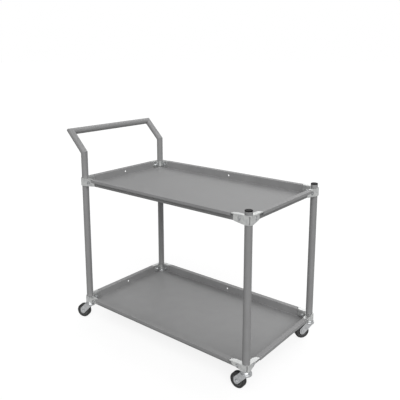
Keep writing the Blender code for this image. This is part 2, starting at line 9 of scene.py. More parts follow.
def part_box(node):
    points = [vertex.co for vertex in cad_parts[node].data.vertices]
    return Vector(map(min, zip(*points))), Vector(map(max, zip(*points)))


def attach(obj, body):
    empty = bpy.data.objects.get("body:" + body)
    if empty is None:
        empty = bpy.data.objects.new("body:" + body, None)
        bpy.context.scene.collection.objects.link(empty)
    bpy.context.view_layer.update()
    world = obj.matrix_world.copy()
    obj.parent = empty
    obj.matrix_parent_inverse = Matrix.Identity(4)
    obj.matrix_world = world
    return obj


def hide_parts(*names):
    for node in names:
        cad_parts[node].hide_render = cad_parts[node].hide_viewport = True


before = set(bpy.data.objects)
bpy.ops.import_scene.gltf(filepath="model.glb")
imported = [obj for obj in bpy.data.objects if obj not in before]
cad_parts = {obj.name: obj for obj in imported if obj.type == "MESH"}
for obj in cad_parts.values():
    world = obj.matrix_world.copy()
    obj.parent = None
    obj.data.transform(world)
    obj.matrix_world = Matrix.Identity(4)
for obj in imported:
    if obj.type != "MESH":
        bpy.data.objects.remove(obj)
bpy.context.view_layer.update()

# Studio
# A plain pale floor in a white room, lit by two wide, far lights, one from the front right
# and a weaker one from behind, as carts are photographed for a catalogue. The camera stands
# off the front right corner, away from the handle, and looks down on both trays.
CAMERA_PLACE = (1.4887, -1.7603, 1.2604)
CAMERA_TILT = math.radians(79.23)
CAMERA_TURN = math.radians(38.96)
CAMERA_LENS = 47.67
CAMERA_SENSOR = 36.0
CAMERA_DROP = 0.12
ROOM_LIGHT = 0.40
BACKDROP_LIGHT = 1.0
WHITE = (1.0, 1.0, 1.0, 1.0)
CLOUD_DETAIL = 3.0
GRAIN_DETAIL = 1.0
TONE_BAND = (0.35, 0.65)
SHEEN_BAND = (0.3, 0.7)
FLOOR_RADIUS = 60.0
FLOOR_SIDES = 96
FLOOR_SPECULAR = 0.1
FLOOR_GLOW_SEEN = 0.84
FLOOR_GLOW_MIRRORED = 0.45

camera_data = bpy.data.cameras.new("camera")
camera_data.sensor_width = CAMERA_SENSOR
camera_data.lens = CAMERA_LENS
camera_data.shift_y = -CAMERA_DROP
camera = bpy.data.objects.new("camera", camera_data)
camera.location = CAMERA_PLACE
camera.rotation_euler = (CAMERA_TILT, 0, CAMERA_TURN)
bpy.context.collection.objects.link(camera)
bpy.context.scene.camera = camera
bpy.context.scene.view_settings.view_transform = "Standard"


def soft_light(name, azimuth, elevation, spread, strength):
    """Wide, far light from a compass bearing (0 is -Y, 90 is +X) and a height, in degrees."""
    lamp = bpy.data.lights.new(name, "SUN")
    lamp.energy = strength
    lamp.angle = math.radians(spread)
    bank = bpy.data.objects.new(name, lamp)
    bank.rotation_euler = (math.radians(90 - elevation), 0, math.radians(azimuth))
    bpy.context.collection.objects.link(bank)


soft_light("front_light", azimuth=46, elevation=36, spread=50, strength=2.15)
soft_light("back_light", azimuth=190, elevation=40, spread=60, strength=0.95)

room = bpy.data.worlds.new("white_room")
room.use_nodes = True
sky = room.node_tree.nodes["Background"]
sky.inputs["Color"].default_value = WHITE
seen = room.node_tree.nodes.new("ShaderNodeLightPath")
room_level = room.node_tree.nodes.new("ShaderNodeMapRange")
room_level.inputs["To Min"].default_value = ROOM_LIGHT
room_level.inputs["To Max"].default_value = BACKDROP_LIGHT
room.node_tree.links.new(seen.outputs["Is Camera Ray"], room_level.inputs["Value"])
room.node_tree.links.new(room_level.outputs["Result"], sky.inputs["Strength"])
bpy.context.scene.world = room


def cloud_and_grain():
    """Shared surface pattern: slow clouds and fine grain, each so many to the metre."""
    pattern = bpy.data.node_groups.get("cloud_and_grain")
    if pattern:
        return pattern
    pattern = bpy.data.node_groups.new("cloud_and_grain", "ShaderNodeTree")
    inside = pattern.nodes.new("NodeGroupInput")
    outside = pattern.nodes.new("NodeGroupOutput")
    place = pattern.nodes.new("ShaderNodeTexCoord")
    for label, detail in (("Cloud", CLOUD_DETAIL), ("Grain", GRAIN_DETAIL)):
        pattern.interface.new_socket(
            name=label + " Density", in_out="INPUT", socket_type="NodeSocketFloat")
        pattern.interface.new_socket(name=label, in_out="OUTPUT", socket_type="NodeSocketFloat")
        noise = pattern.nodes.new("ShaderNodeTexNoise")
        noise.inputs["Detail"].default_value = detail
        pattern.links.new(place.outputs["Object"], noise.inputs["Vector"])
        pattern.links.new(inside.outputs[label + " Density"], noise.inputs["Scale"])
        pattern.links.new(noise.outputs["Fac"], outside.inputs[label])
    return pattern


def finish(name, deep, pale, gloss, matt, clouds, grains, depth, metallic):
    """Surface finish whose tone and sheen drift slowly, with a fine grain standing in relief."""
    made = bpy.data.materials.new(name)
    made.use_nodes = True
    nodes = made.node_tree.nodes
    links = made.node_tree.links
    shader = nodes["Principled BSDF"]
    shader.inputs["Metallic"].default_value = metallic
    pattern = nodes.new("ShaderNodeGroup")
    pattern.node_tree = cloud_and_grain()
    pattern.inputs["Cloud Density"].default_value = clouds
    pattern.inputs["Grain Density"].default_value = grains
    tone = nodes.new("ShaderNodeValToRGB")
    for stop, position, colour in zip(tone.color_ramp.elements, TONE_BAND, (deep, pale)):
        stop.position = position
        stop.color = (*colour, 1.0)
    sheen = nodes.new("ShaderNodeMapRange")
    sheen.inputs["From Min"].default_value = SHEEN_BAND[0]
    sheen.inputs["From Max"].default_value = SHEEN_BAND[1]
    sheen.inputs["To Min"].default_value = gloss
    sheen.inputs["To Max"].default_value = matt
    relief = nodes.new("ShaderNodeBump")
    relief.inputs["Distance"].default_value = depth
    links.new(pattern.outputs["Cloud"], tone.inputs["Fac"])
    links.new(tone.outputs["Color"], shader.inputs["Base Color"])
    links.new(pattern.outputs["Cloud"], sheen.inputs["Value"])
    links.new(sheen.outputs["Result"], shader.inputs["Roughness"])
    links.new(pattern.outputs["Grain"], relief.inputs["Height"])
    links.new(relief.outputs["Normal"], shader.inputs["Normal"])
    return made


floor_paper = finish(
    "floor_paper", deep=(0.19, 0.19, 0.19), pale=(0.21, 0.21, 0.21),
    gloss=0.85, matt=0.95, clouds=1.5, grains=300.0, depth=0.0002, metallic=0.0)
floor_shader = floor_paper.node_tree.nodes["Principled BSDF"]
floor_shader.inputs["Specular IOR Level"].default_value = FLOOR_SPECULAR
floor_shader.inputs["Emission Color"].default_value = WHITE
glow = floor_paper.node_tree.nodes.new("ShaderNodeMath")
glow.operation = "MULTIPLY_ADD"
glow.inputs[1].default_value = FLOOR_GLOW_SEEN
seen_floor = floor_paper.node_tree.nodes.new("ShaderNodeLightPath")
mirrored = floor_paper.node_tree.nodes.new("ShaderNodeMath")
mirrored.operation = "MULTIPLY"
mirrored.inputs[1].default_value = FLOOR_GLOW_MIRRORED
floor_paper.node_tree.links.new(seen_floor.outputs["Is Glossy Ray"], mirrored.inputs[0])
floor_paper.node_tree.links.new(seen_floor.outputs["Is Camera Ray"], glow.inputs[0])
floor_paper.node_tree.links.new(mirrored.outputs["Value"], glow.inputs[2])
floor_paper.node_tree.links.new(glow.outputs["Value"], floor_shader.inputs["Emission Strength"])

floor_mesh = bpy.data.meshes.new("studio_floor")
floor_shape = bmesh.new()
bmesh.ops.create_circle(floor_shape, cap_ends=True, segments=FLOOR_SIDES, radius=FLOOR_RADIUS)
floor_shape.to_mesh(floor_mesh)
floor_shape.free()
floor_mesh.materials.append(floor_paper)
studio_floor = bpy.data.objects.new("studio_floor", floor_mesh)
bpy.context.collection.objects.link(studio_floor)

# Frame tubes
# Round steel tube, powder-coated grey. One tube makes both rear posts and the push bar,
# mitred and welded at each turn and ground nearly flush; two short ones make the front posts.
TUBE_WALL = 0.0015
TUBE_SIDES = 56
WELD_WIDTH = 0.0016
WELD_HEIGHT = 0.0004
EASED_EDGE = 0.00035
EDGE_ANGLE = math.radians(42)
EDGE_STEPS = 2

handle_low, handle_high = (Vector(corner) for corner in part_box("handle_frame"))
post_low, post_high = (Vector(corner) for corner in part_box("post_front_left"))
TUBE_RADIUS = (post_high.x - post_low.x) / 2
FRONT_X = (post_low.x + post_high.x) / 2
REAR_X = handle_high.x - TUBE_RADIUS
SIDE_Y = handle_high.y - TUBE_RADIUS
BAR_X = handle_low.x + TUBE_RADIUS
BAR_Z = handle_high.z - TUBE_RADIUS
BEND_Z = BAR_Z - (REAR_X - BAR_X)
CORNERS = {
    "rear_right": (-1, -1),
    "front_right": (1, -1),
    "front_left": (1, 1),
    "rear_left": (-1, 1),
}

grey_paint = finish(
    "grey_powder_coat", deep=(0.258, 0.258, 0.260), pale=(0.280, 0.280, 0.282),
    gloss=0.42, matt=0.52, clouds=14.0, grains=900.0, depth=0.00018, metallic=0.0)


def arc(centre, radius, start, end, steps):
    """Points on an arc from one angle to another, both included."""
    points = []
    for step in range(steps + 1):
        angle = start + (end - start) * step / steps
        points.append((centre[0] + radius * math.cos(angle), centre[1] + radius * math.sin(angle)))
    return points


def at_corner(x_side, y_side, z):
    """Frame of a corner of the cart: +X and +Y run along its two rims, away from the post."""
    x = FRONT_X if x_side > 0 else REAR_X
    turns = list(CORNERS.values()).index((x_side, y_side))
    turned = Matrix.Rotation(turns * math.pi / 2, 4, "Z")
    return Matrix.Translation((x, y_side * SIDE_Y, z)) @ turned


def mesh_from(name, bm):
    """Turn a worked shape into a smooth mesh with outward faces."""
    bmesh.ops.recalc_face_normals(bm, faces=bm.faces)
    mesh = bpy.data.meshes.new(name)
    bm.to_mesh(mesh)
    bm.free()
    mesh.shade_smooth()
    return mesh


def fitted(name, mesh, material, nodes, body, place=Matrix.Identity(4), edge=EASED_EDGE):
    """Stand a finished piece where its CAD node is, with eased edges, riding on its body."""
    if not mesh.materials:
        mesh.materials.append(material)
    piece = bpy.data.objects.new(name, mesh)
    piece.matrix_world = place
    bpy.context.collection.objects.link(piece)
    eased = piece.modifiers.new("eased_edges", "BEVEL")
    eased.width = edge
    eased.segments = EDGE_STEPS
    eased.limit_method = "ANGLE"
    eased.angle_limit = EDGE_ANGLE
    even = piece.modifiers.new("even_shading", "WEIGHTED_NORMAL")
    even.keep_sharp = True
    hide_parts(*nodes)
    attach(piece, body)


def tube_skin(path, radius, bead):
    """Rings of a round tube that starts straight up, with a weld bead round each mitre."""
    circle = arc((0, 0), radius, 0, 2 * math.pi, TUBE_SIDES)[:-1]
    rings = [[path[0] + Vector((x, y, 0)) for x, y in circle]]
    for index in range(1, len(path)):
        point = path[index]
        behind = (point - path[index - 1]).normalized()
        ahead = (path[min(index + 1, len(path) - 1)] - path[min(index, len(path) - 2)]).normalized()
        mitre = (behind + ahead).normalized()
        seam = []
        for spot in rings[-1]:
            seam.append(spot + behind * ((point - spot).dot(mitre) / behind.dot(mitre)))
        if bead and index < len(path) - 1:
            rings.append([spot - behind * WELD_WIDTH for spot in seam])
            proud = []
            for spot in seam:
                raised = spot + (spot - point).normalized() * bead
                raised.x = max(raised.x, handle_low.x)
                raised.z = min(raised.z, handle_high.z)
                proud.append(raised)
            rings.append(proud)
            seam = [spot + ahead * WELD_WIDTH for spot in seam]
        rings.append(seam)
    return rings


def welded_tube(name, path):
    """Open round tube along a path, with its bore."""
    bm = bmesh.new()
    skins = []
    for radius, bead in ((TUBE_RADIUS, WELD_HEIGHT), (TUBE_RADIUS - TUBE_WALL, 0)):
        rings = tube_skin(path, radius, bead)
        skins.append([[bm.verts.new(spot) for spot in ring] for ring in rings])
    seams = [pair for rings in skins for pair in zip(rings, rings[1:])]
    seams += [(skins[0][0], skins[1][0]), (skins[0][-1], skins[1][-1])]
    for near, far in seams:
        for step in range(TUBE_SIDES):
            after = (step + 1) % TUBE_SIDES
            bm.faces.new((near[step], near[after], far[after], far[step]))
    return mesh_from(name, bm)


handle_path = [
    Vector((REAR_X, -SIDE_Y, handle_low.z)),
    Vector((REAR_X, -SIDE_Y, BEND_Z)),
    Vector((BAR_X, -SIDE_Y, BAR_Z)),
    Vector((BAR_X, SIDE_Y, BAR_Z)),
    Vector((REAR_X, SIDE_Y, BEND_Z)),
    Vector((REAR_X, SIDE_Y, handle_low.z)),
]
fitted("coated_handle_frame", welded_tube("coated_handle_frame", handle_path),
       grey_paint, ["handle_frame"], "cart_frame")
front_path = [Vector((0, 0, 0)), Vector((0, 0, post_high.z - post_low.z))]
front_post = welded_tube("coated_front_post", front_path)
for corner in ("front_right", "front_left"):
    fitted("coated_post_" + corner, front_post, grey_paint, ["post_" + corner], "cart_frame",
           at_corner(*CORNERS[corner], post_low.z))

# Post caps
# Black plastic plugs with a flat top and a rounded shoulder, pushed into the open ends of
# the front posts. The plug itself is plain, because it is out of sight in the bore.
CAP_ROUND = 0.0013
CAP_PLUG_LENGTH = 0.012
CAP_SPECULAR = 0.10
SEAT_GAP = 0.0003
ROUND_STEPS = 5
MERGE_DISTANCE = 0.000005

cap_low, cap_high = (Vector(corner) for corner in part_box("post_cap_front_left"))
cap_seat = cap_low.z + CAP_PLUG_LENGTH
cap_height = cap_high.z - cap_seat
cap_plastic = finish(
    "black_cap_plastic", deep=(0.005, 0.005, 0.005), pale=(0.008, 0.008, 0.008),
    gloss=0.45, matt=0.60, clouds=60.0, grains=1600.0, depth=0.00004, metallic=0.0)
cap_shader = cap_plastic.node_tree.nodes["Principled BSDF"]
cap_shader.inputs["Specular IOR Level"].default_value = CAP_SPECULAR


def spun(profile, steps, ring=False):
    """Spin a profile of (radius, height) points about Z; a ring's profile is closed."""
    bm = bmesh.new()
    verts = [bm.verts.new((radius, 0, height)) for radius, height in profile]
    for first, second in zip(verts, verts[1:]):
        bm.edges.new((first, second))
    if ring:
        bm.edges.new((verts[-1], verts[0]))
    bmesh.ops.spin(bm, geom=bm.verts[:] + bm.edges[:], cent=(0, 0, 0), axis=(0, 0, 1),
                   angle=2 * math.pi, steps=steps)
    bmesh.ops.remove_doubles(bm, verts=bm.verts, dist=MERGE_DISTANCE)
    return bm


plug_radius = TUBE_RADIUS - TUBE_WALL - SEAT_GAP
cap_shoulder = (TUBE_RADIUS - CAP_ROUND, cap_height - CAP_ROUND)
cap_profile = [(0, cap_height)]
cap_profile += arc(cap_shoulder, CAP_ROUND, math.pi / 2, 0, ROUND_STEPS)
cap_profile += [(TUBE_RADIUS, 0), (plug_radius, 0)]
cap_profile += [(plug_radius, -CAP_PLUG_LENGTH), (0, -CAP_PLUG_LENGTH)]
cap_mesh = mesh_from("moulded_post_cap", spun(cap_profile, TUBE_SIDES))
for corner in ("front_right", "front_left"):
    fitted("moulded_cap_" + corner, cap_mesh, cap_plastic, ["post_cap_" + corner], "cart_frame",
           at_corner(*CORNERS[corner], cap_seat))

# Trays
# Each tray is one sheet of steel, folded up into four low walls, out into a flange and
# down into a lip, then powder-coated. The rims are notched clear of the clamps at the
# corners, and each wall has a drain hole in its middle.
SHEET = 0.0012
FOLD = 0.0018
FOLD_STEPS = 5
RIM_LIP = 0.012
FLOOR_LAP = 0.010
DRAIN_RADIUS = 0.0040
DRAIN_DROP = 0.016
DRAIN_SIDES = 32
NOTCH_GAP = 0.0030
NOTCH_BITE = 0.0001
POST_CLEARANCE = 0.0004
POST_HOLE_SIDES = 48
CROWN_HOLE_RADIUS = 0.022
CLAMP_FACE = SHEET / 2 + SEAT_GAP
BOLT_ALONG_WING = 0.035
BOLT_DROP = 0.0195
BOLT_HOLE_RADIUS = 0.0035
BOLT_HOLE_SIDES = 24
CLAMP_WING_ROUND = 0.016
CLAMP_WEB_LONGER = 0.004
FINE_EDGE = 0.0002
ACROSS = Matrix(((0, 1, 0), (1, 0, 0), (0, 0, 1))).to_4x4()
WINGS = (Matrix.Identity(4), ACROSS)

tray_low, tray_high = (Vector(corner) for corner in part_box("tray_upper"))
clamp_low = Vector(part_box("clamp_outer_upper_front_left")[0])
TRAY_DEPTH = tray_high.z - tray_low.z
RIM_REACH = tray_high.y - SIDE_Y
HALF_X = (FRONT_X - REAR_X) / 2
MIDDLE_X = (FRONT_X + REAR_X) / 2
CLAMP_WING = FRONT_X - clamp_low.x - CLAMP_WEB_LONGER


def fillet(path, index, offset):
    """Points round one fold of a sheet, at an offset to the left of its middle line."""
    behind = (path[index] - path[index - 1]).normalized()
    ahead = (path[index + 1] - path[index]).normalized()
    way = 1 if behind.cross(ahead) > 0 else -1
    turn = behind.angle(ahead)
    inward = Vector((-behind.y, behind.x)) * way
    centre = path[index] - behind * FOLD * math.tan(turn / 2) + inward * FOLD
    start = math.atan2(-behind.x * way, behind.y * way)
    return arc(centre, FOLD - way * offset, start, start + way * turn, FOLD_STEPS)


def folded_sides(path):
    """The two faces of a sheet folded along a path of (outward, up) points."""
    sides = []
    for offset in (SHEET / 2, -SHEET / 2):
        first = (path[1] - path[0]).normalized()
        last = (path[-1] - path[-2]).normalized()
        side = [tuple(path[0] + Vector((-first.y, first.x)) * offset)]
        for index in range(1, len(path) - 1):
            side += fillet(path, index, offset)
        side.append(tuple(path[-1] + Vector((-last.y, last.x)) * offset))
        sides.append(side)
    return sides


def folded_pan(path):
    """Floor and four rims in one sheet, mitred where the rims meet behind the posts."""
    bm = bmesh.new()
    faces = []
    for side in folded_sides(path):
        rings = []
        for outward, up in side:
            x, y = HALF_X + outward, SIDE_Y + outward
            spots = ((-x, -y, up), (x, -y, up), (x, y, up), (-x, y, up))
            rings.append([bm.verts.new(spot) for spot in spots])
        bm.faces.new(rings[0])
        faces.append(rings)
    strips = [pair for rings in faces for pair in zip(rings, rings[1:])]
    strips.append((faces[0][-1], faces[1][-1]))
    for near, far in strips:
        for step in range(4):
            after = (step + 1) % 4
            bm.faces.new((near[step], near[after], far[after], far[step]))
    return bm


def prism(outline, low, high):
    """Extrude a plan outline from height low to height high."""
    bm = bmesh.new()
    foot = bm.faces.new([bm.verts.new((x, y, low)) for x, y in outline])
    grown = bmesh.ops.extrude_face_region(bm, geom=[foot])
    top = [item for item in grown["geom"] if isinstance(item, bmesh.types.BMVert)]
    bmesh.ops.translate(bm, verts=top, vec=(0, 0, high - low))
    return bm


def rod(radius, start, end, sides):
    """Straight round rod between two points."""
    axis = Vector(end) - Vector(start)
    turn = axis.to_track_quat("Z", "Y").to_matrix().to_4x4()
    bm = bmesh.new()
    bmesh.ops.create_cone(
        bm, cap_ends=True, segments=sides, radius1=radius, radius2=radius, depth=axis.length,
        matrix=Matrix.Translation((Vector(start) + Vector(end)) / 2) @ turn)
    return bm


def moved(bm, matrix):
    """The same shape, moved by a matrix."""
    bmesh.ops.transform(bm, verts=bm.verts, matrix=matrix)
    return bm


def worked(base, tools, operation):
    """Join a mesh with each tool in turn, or cut it by them."""
    body = bpy.data.objects.new("work_body", base)
    bpy.context.collection.objects.link(body)
    helpers = []
    for tool in tools:
        helper = bpy.data.objects.new("work_tool", mesh_from("work_tool", tool))
        bpy.context.collection.objects.link(helper)
        helpers.append(helper)
        step = body.modifiers.new("step", "BOOLEAN")
        step.operation = operation
        step.solver = "EXACT"
        step.object = helper
    finished = body.evaluated_get(bpy.context.evaluated_depsgraph_get())
    result = bpy.data.meshes.new_from_object(finished)
    for thing in [body] + helpers:
        bpy.data.objects.remove(thing, do_unlink=True)
    result.shade_smooth()
    return result


def notch_tool():
    """What a rim leaves free for one wing of a clamp, round at its end."""
    radius = CLAMP_WING_ROUND + NOTCH_GAP
    centre = (CLAMP_WING - CLAMP_WING_ROUND, CLAMP_FACE + CLAMP_WING_ROUND)
    face = SHEET / 2 - NOTCH_BITE
    beyond = RIM_REACH + NOTCH_GAP
    outline = [(-beyond, face)]
    outline += arc(centre, radius, -math.asin((centre[1] - face) / radius), 0, FOLD_STEPS * 2)
    outline += [(centre[0] + radius, beyond), (-beyond, beyond)]
    plan = [(along, -outward) for along, outward in outline]
    return prism(plan, TRAY_DEPTH - RIM_LIP - NOTCH_GAP, TRAY_DEPTH + NOTCH_GAP)


def tray_sheet(name, crown_radius):
    """Folded tray with its four rims, cleared at the corners for posts, clamps and bolts."""
    middle = SHEET / 2
    pan = folded_pan([
        Vector((-FLOOR_LAP, middle)),
        Vector((0, middle)),
        Vector((0, TRAY_DEPTH - middle)),
        Vector((RIM_REACH - middle, TRAY_DEPTH - middle)),
        Vector((RIM_REACH - middle, TRAY_DEPTH - RIM_LIP)),
    ])
    tools = []
    drain_z = TRAY_DEPTH - DRAIN_DROP
    bolt_z = TRAY_DEPTH - BOLT_DROP
    for offset, turn in zip((SIDE_Y, HALF_X), WINGS):
        for side in (-1, 1):
            drain = rod(DRAIN_RADIUS, (0, side * offset - FOLD, drain_z),
                        (0, side * offset + FOLD, drain_z), DRAIN_SIDES)
            tools.append(moved(drain, turn))
    for x_side, y_side in CORNERS.values():
        corner = at_corner(x_side, y_side, 0)
        corner.translation.x -= MIDDLE_X
        post = rod(TUBE_RADIUS + POST_CLEARANCE, (0, 0, -SHEET), (0, 0, TRAY_DEPTH * 2),
                   POST_HOLE_SIDES)
        tools.append(moved(post, corner))
        for wing in WINGS:
            hole = rod(BOLT_HOLE_RADIUS, (BOLT_ALONG_WING, -SHEET, bolt_z),
                       (BOLT_ALONG_WING, SHEET, bolt_z), BOLT_HOLE_SIDES)
            tools.append(moved(notch_tool(), corner @ wing))
            tools.append(moved(hole, corner @ wing))
        if crown_radius:
            crown = rod(crown_radius, (0, 0, -SHEET), (0, 0, FOLD + SHEET * 2), POST_HOLE_SIDES)
            tools.append(moved(crown, corner))
    return worked(mesh_from(name, pan), tools, "DIFFERENCE")


for node, crown_radius in (("tray_upper", 0), ("tray_lower", CROWN_HOLE_RADIUS)):
    tray_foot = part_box(node)[0][2]
    fitted("coated_" + node, tray_sheet("coated_" + node, crown_radius), grey_paint, [node],
           "cart_frame", Matrix.Translation((MIDDLE_X, 0, tray_foot)), FINE_EDGE)

# Corner clamps
# Zinc castings in two halves, tumbled and bright-plated: an outer half collar with a top
# flange, faired webs and a ribbed split line, and a slim inner half inside the tray.
# A bolt through each wing draws the halves on to the post and the rim.
CLAMP_WALL = 0.0025
CLAMP_FLANGE = 0.0025
CLAMP_WEB_END = CLAMP_WING + CLAMP_WEB_LONGER
CLAMP_WEB_RISE = 0.002
CLAMP_WEB_CHAMFER = 0.005
CLAMP_RECESS_RADIUS = 0.0072
CLAMP_RECESS_SEAT = 0.0065
CLAMP_RECESS_SIDES = 40
CLAMP_BORE = TUBE_RADIUS + SEAT_GAP
COLLAR_RADIUS = CLAMP_BORE + CLAMP_WALL
CLAMP_BACK = CLAMP_FACE + CLAMP_WALL
COLLAR_STEPS = 20
SPLIT_WIDTH = 0.0050
SPLIT_DEPTH = 0.0019
SPLIT_BRIDGE = 0.0015
SPLIT_RIB = 0.0028
SPLIT_RIB_PROUD = 0.0012
INNER_CLAMP_WING = 0.054
INNER_CLAMP_DROP = 0.0020
INNER_CLAMP_ROUND = 0.007
ROUND_PROFILE = 0.5
CLAMP_EDGE = 0.0007
STOOD_UP = Matrix(((1, 0, 0), (0, 0, -1), (0, 1, 0))).to_4x4()
DIAGONAL = math.radians(-135)
OUTWARD = Matrix.Rotation(DIAGONAL, 4, "Z")

bright_zinc = finish(
    "bright_zinc_casting", deep=(0.56, 0.57, 0.57), pale=(0.76, 0.77, 0.76),
    gloss=0.28, matt=0.44, clouds=60.0, grains=420.0, depth=0.00010, metallic=0.95)


def block(low, high):
    """Plain block between two corners, to join or cut with."""
    plan = [(low[0], low[1]), (high[0], low[1]), (high[0], high[1]), (low[0], high[1])]
    return prism(plan, low[2], high[2])


def clamp_plan(tip):
    """Plan of an outer clamp half; tip runs round the end of a wing, from inside to outside."""
    meet = math.asin(CLAMP_FACE / CLAMP_BORE)
    reach = math.hypot(*tip[-1])
    touch = math.atan2(tip[-1][1], tip[-1][0]) - math.acos(COLLAR_RADIUS / reach)
    inner = tip[:1] + arc((0, 0), CLAMP_BORE, -meet, DIAGONAL, COLLAR_STEPS)
    outer = tip[1:] + arc((0, 0), COLLAR_RADIUS, touch, DIAGONAL, COLLAR_STEPS // 2)
    plan = inner[:-1] + [(y, x) for x, y in reversed(inner)] + [(y, x) for x, y in outer[:-1]]
    return plan + list(reversed(outer))


def outer_clamp(name, height):
    """Outer half: collar, webs, round-ended flange, recessed bolt seats and the split line."""
    end = CLAMP_WEB_END
    web = prism(clamp_plan([(end, -CLAMP_FACE), (end, -CLAMP_BACK)]), -height, -SHEET - SEAT_GAP)
    centre = (CLAMP_WING - CLAMP_WING_ROUND, -CLAMP_FACE - CLAMP_WING_ROUND)
    tip = arc(centre, CLAMP_WING_ROUND, math.pi / 2, 0, FOLD_STEPS * 2)
    flange = prism(clamp_plan(tip + [(CLAMP_WING, -RIM_REACH)]), -CLAMP_FLANGE, 0)
    foot = COLLAR_RADIUS + SEAT_GAP
    below = -height - CLAMP_WALL
    lifted = -height + CLAMP_WEB_RISE
    slope = [
        (foot, below),
        (foot, -height),
        (end - CLAMP_WEB_CHAMFER, lifted),
        (end + SHEET, lifted + CLAMP_WEB_CHAMFER),
        (end + SHEET, below),
    ]
    bolt = Vector((BOLT_ALONG_WING, 0, -BOLT_DROP))
    seat = bolt - Vector((0, CLAMP_RECESS_SEAT, 0))
    outside = bolt - Vector((0, RIM_REACH, 0))
    ribs = []
    for side in (-1, 1):
        near, far = sorted((side * SPLIT_WIDTH / 2, side * (SPLIT_WIDTH / 2 + SPLIT_RIB)))
        rib = block((CLAMP_BORE + SHEET, near, -height),
                    (COLLAR_RADIUS + SPLIT_RIB_PROUD, far, -CLAMP_EDGE))
        ribs.append(moved(rib, OUTWARD))
    slit = block((COLLAR_RADIUS - SPLIT_DEPTH, -SPLIT_WIDTH / 2, below),
                 (COLLAR_RADIUS + SPLIT_DEPTH, SPLIT_WIDTH / 2, CLAMP_WALL))
    half_gap = SPLIT_WIDTH / 2 - SEAT_GAP
    gap = block((CLAMP_BORE - SHEET, -half_gap, SPLIT_BRIDGE - height),
                (COLLAR_RADIUS + SPLIT_DEPTH, half_gap, -CLAMP_FLANGE - SEAT_GAP))
    cuts = [moved(slit, OUTWARD), moved(gap, OUTWARD)]
    for wing in WINGS:
        cuts.append(moved(rod(BOLT_HOLE_RADIUS, bolt, outside, BOLT_HOLE_SIDES), wing))
        cuts.append(moved(rod(CLAMP_RECESS_RADIUS, seat, outside, CLAMP_RECESS_SIDES), wing))
        cuts.append(moved(prism(slope, 0, RIM_REACH), wing @ STOOD_UP))
    return worked(worked(mesh_from(name, web), [flange] + ribs, "UNION"), cuts, "DIFFERENCE")


def inner_clamp(name, height):
    """Inner half: quarter collar with a flat wing on each rim, rounded at its end."""
    meet = math.asin(CLAMP_FACE / CLAMP_BORE)
    leave = math.asin(CLAMP_BACK / COLLAR_RADIUS)
    plan = [(INNER_CLAMP_WING, CLAMP_FACE), (INNER_CLAMP_WING, CLAMP_BACK)]
    plan += arc((0, 0), COLLAR_RADIUS, leave, math.pi / 2 - leave, COLLAR_STEPS)
    plan += [(CLAMP_BACK, INNER_CLAMP_WING), (CLAMP_FACE, INNER_CLAMP_WING)]
    plan += arc((0, 0), CLAMP_BORE, math.pi / 2 - meet, meet, COLLAR_STEPS)
    top = -INNER_CLAMP_DROP
    bm = prism(plan, top - height, top)
    ends = []
    for edge in bm.edges:
        spots = [vert.co for vert in edge.verts]
        lying = abs(spots[0].z - spots[1].z) < SEAT_GAP
        tips = []
        for axis in (0, 1):
            tips.append(all(abs(spot[axis] - INNER_CLAMP_WING) < SEAT_GAP for spot in spots))
        if lying and any(tips):
            ends.append(edge)
    bmesh.ops.bevel(bm, geom=ends, offset=INNER_CLAMP_ROUND, segments=FOLD_STEPS * 2,
                    affect="EDGES", profile=ROUND_PROFILE)
    start = (BOLT_ALONG_WING, 0, -BOLT_DROP)
    stop = (BOLT_ALONG_WING, CLAMP_BACK + CLAMP_WALL, -BOLT_DROP)
    holes = [moved(rod(BOLT_HOLE_RADIUS, start, stop, BOLT_HOLE_SIDES), wing) for wing in WINGS]
    return worked(mesh_from(name, bm), holes, "DIFFERENCE")


inner_low, inner_high = (Vector(corner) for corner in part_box("clamp_inner_upper_front_left"))
inner_mesh = inner_clamp("cast_clamp_inner", inner_high.z - inner_low.z)
rim_tops = {}
for level in ("upper", "lower"):
    outer_low, outer_high = (Vector(spot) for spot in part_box("clamp_outer_%s_front_left" % level))
    rim_tops[level] = outer_high.z
    outer_mesh = outer_clamp("cast_clamp_outer_" + level, outer_high.z - outer_low.z)
    for corner, sides in CORNERS.items():
        for half, half_mesh in (("outer", outer_mesh), ("inner", inner_mesh)):
            node = "clamp_%s_%s_%s" % (half, level, corner)
            fitted("cast_" + node, half_mesh, bright_zinc, [node], "cart_frame",
                   at_corner(*sides, outer_high.z), CLAMP_EDGE)

# Clamp bolts
# Plated socket-head bolts sunk in the outer halves, each with a hexagon nut run on to the
# inner half, inside the tray.
BOLT_RADIUS = 0.0030
BOLT_HEAD_RADIUS = 0.0052
BOLT_HEAD_HEIGHT = 0.0042
BOLT_HEAD_ROUND = 0.0008
BOLT_SOCKET_RADIUS = 0.0028
BOLT_SOCKET_DEPTH = 0.0020
BOLT_HEX_RADIUS = 0.0058
BOLT_NUT_HEIGHT = 0.0050
BOLT_TAIL = 0.0015
BOLT_HEAD_STEPS = 40
HEX_BLUNTED = 0.99
HEX_STEPS = 48

plated_steel = finish(
    "plated_steel", deep=(0.52, 0.53, 0.54), pale=(0.68, 0.69, 0.70),
    gloss=0.34, matt=0.50, clouds=110.0, grains=900.0, depth=0.00006, metallic=0.95)


def hexagon(radius):
    """The six corners of a hexagon."""
    return arc((0, 0), radius, 0, math.pi * 5 / 3, 5)


def nut_block(radius, low, high):
    """Hexagon block with its corners turned off at both ends."""
    blank = mesh_from("nut", prism(hexagon(radius), low, high))
    off = (1 - math.cos(math.pi / 6)) * radius
    blunt = radius * HEX_BLUNTED
    barrel = [(0, high), (radius - off, high), (blunt, high - off / 2),
              (blunt, low + off / 2), (radius - off, low), (0, low)]
    return worked(blank, [spun(barrel, HEX_STEPS)], "INTERSECT")


